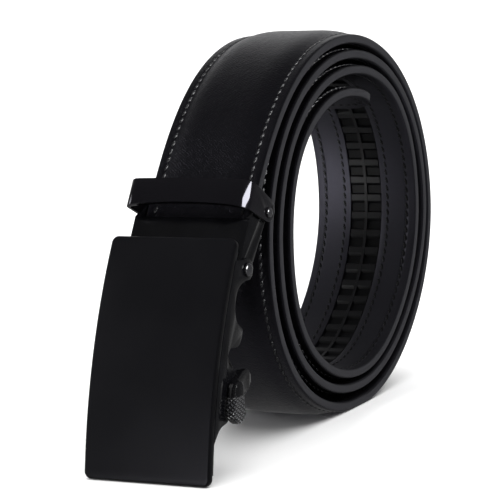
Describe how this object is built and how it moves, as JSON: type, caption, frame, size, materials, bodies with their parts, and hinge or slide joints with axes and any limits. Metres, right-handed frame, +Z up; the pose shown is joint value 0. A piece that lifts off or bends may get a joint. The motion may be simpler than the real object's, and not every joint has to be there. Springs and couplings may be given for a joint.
{
  "type": "ratchet belt",
  "caption": "Coiled black leather ratchet belt with a toothed track in its tail and a black automatic buckle with face plate, keeper loop and release lever.",
  "frame": {"origin": "middle of the bottom of the belt's bounding box, on the surface it stands on", "axes": "+Z up, X across the strap, -Y the side of the face plate, +Y the side of the coil's back"},
  "size_m": [0.0446, 0.1566, 0.1131],
  "materials": {
    "strap_leather": "fine grain, semi-matte black",
    "track_plastic": "satin black",
    "plate_paint": "matte black",
    "black_steel": "polished black"
  },
  "bodies": {
    "belt": {"strap": "strap_leather", "ratchet_track": "track_plastic", "strap_clamp": "black_steel", "clamp_jaw": "black_steel", "loop_rivet_left": "black_steel", "loop_rivet_right": "black_steel"},
    "buckle": {"face_plate": "plate_paint", "buckle_housing": "black_steel", "hinge_pin": "black_steel"},
    "keeper_loop": {"keeper_loop": "plate_paint"},
    "release_lever": {"release_lever": "black_steel", "pawl": "black_steel", "lever_axle": "black_steel"}
  },
  "joints": [
    {"name": "buckle_hinge", "type": "hinge", "parent": "belt", "child": "buckle", "pos_m": [-0.0009, -0.04842, 0.05538], "axis": [1, 0, 0], "range_deg": [-28, 30]},
    {"name": "loop_hinge", "type": "hinge", "parent": "belt", "child": "keeper_loop", "pos_m": [-0.0009, -0.03403, 0.06911], "axis": [1, 0, 0], "range_deg": [-40, 20]},
    {"name": "lever_hinge", "type": "hinge", "parent": "buckle", "child": "release_lever", "pos_m": [-0.0009, -0.05658, 0.02584], "axis": [1, 0, 0], "range_deg": [-15, 0], "stiffness_Nm_per_rad": 0.06, "springref_deg": 11.46}
  ]
}
